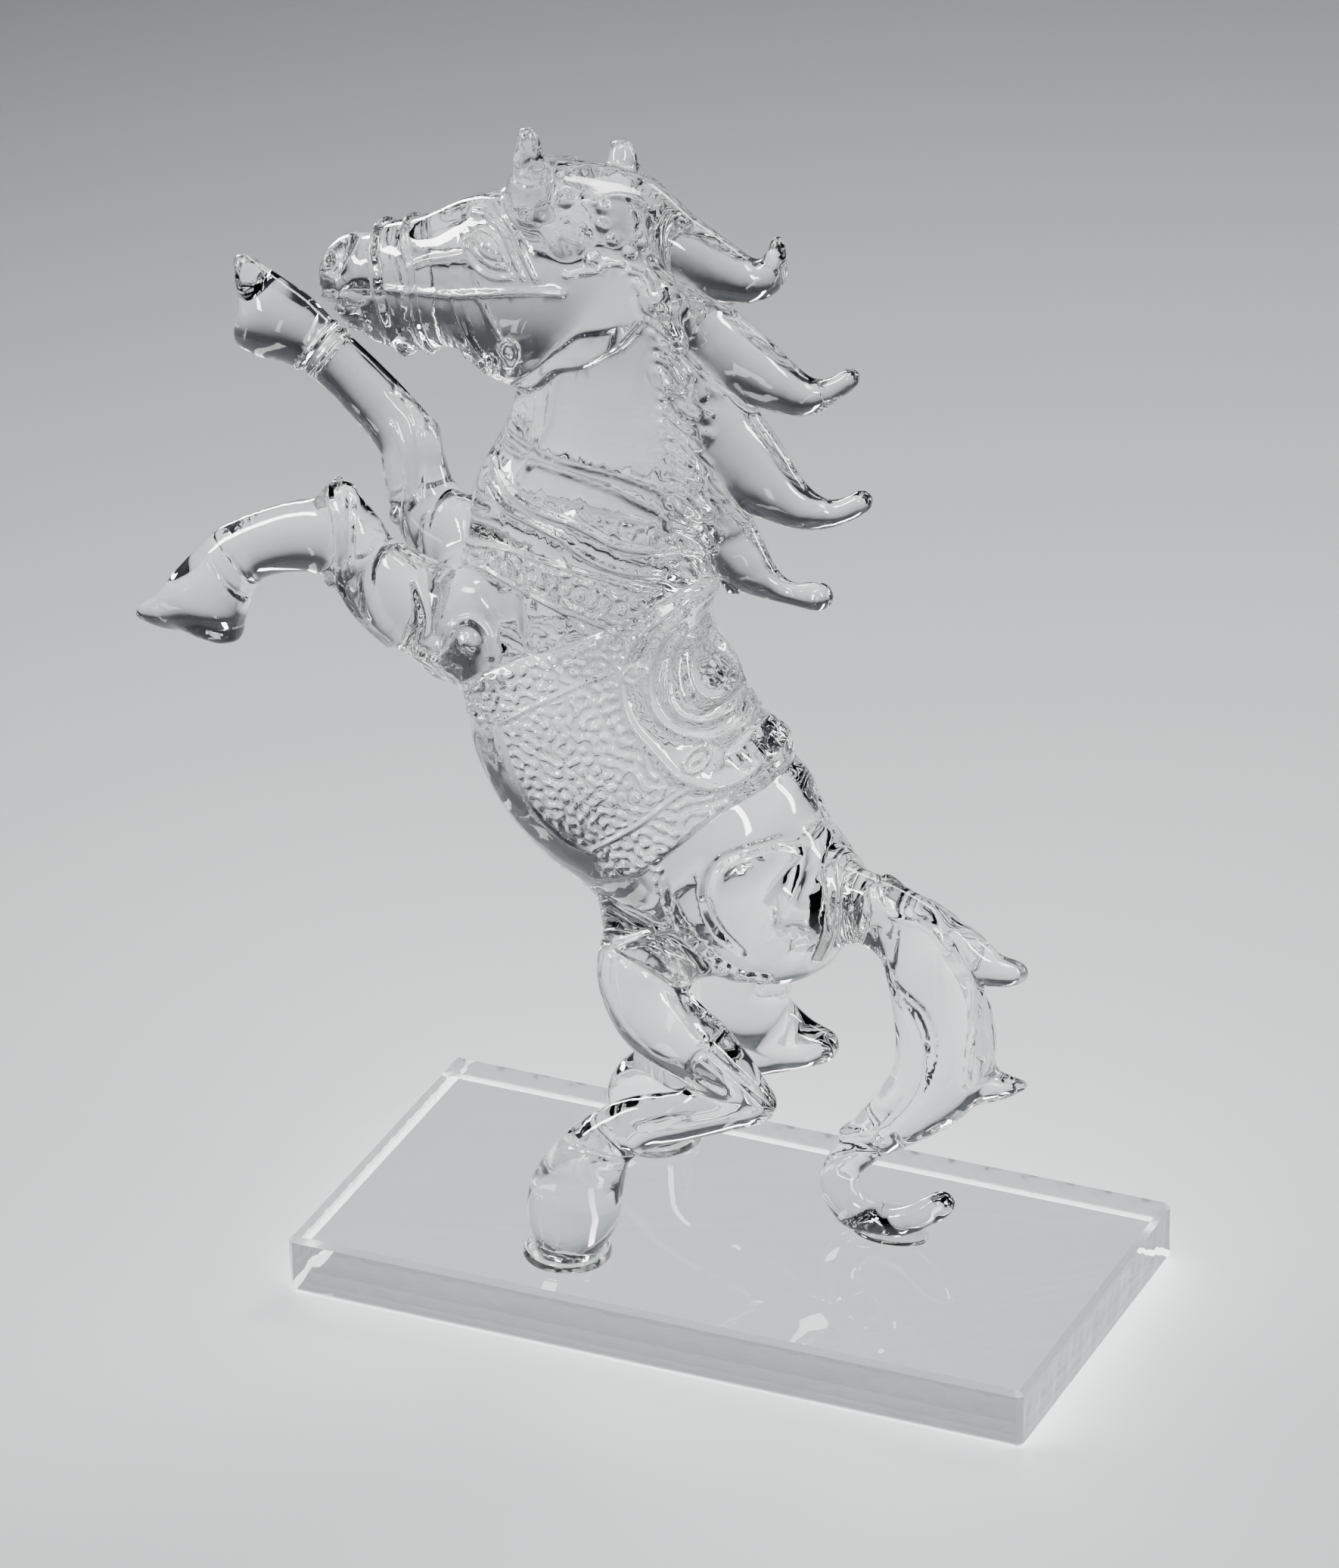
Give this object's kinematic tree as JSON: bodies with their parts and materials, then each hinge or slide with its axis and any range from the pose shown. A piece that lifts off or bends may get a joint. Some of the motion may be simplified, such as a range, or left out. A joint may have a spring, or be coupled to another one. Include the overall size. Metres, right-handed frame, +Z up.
{
  "type": "crystal horse figurine",
  "caption": "Clear glass rearing horse with moulded saddle and bridle, curled mane and tail, fixed by its hind hooves and tail to a rectangular glass plinth.",
  "frame": {"origin": "middle of the plinth's underside", "axes": "+Z up, the figurine's height; the horse faces -X, along the plinth's long side; Y across the plinth, with the horse's left flank, which the picture shows, on -Y"},
  "size_m": [0.1855, 0.075, 0.236],
  "materials": {
    "horse": "clear fire-polished glass with moulded low relief",
    "plinth": "clear plate glass with ground chamfers",
    "near_hoof_glue": "clear set glue",
    "far_hoof_glue": "clear set glue",
    "tail_glue": "clear set glue"
  },
  "bodies": {
    "root": {"horse": "horse", "plinth": "plinth", "near_hoof_glue": "near_hoof_glue", "far_hoof_glue": "far_hoof_glue", "tail_glue": "tail_glue"}
  },
  "joints": []
}
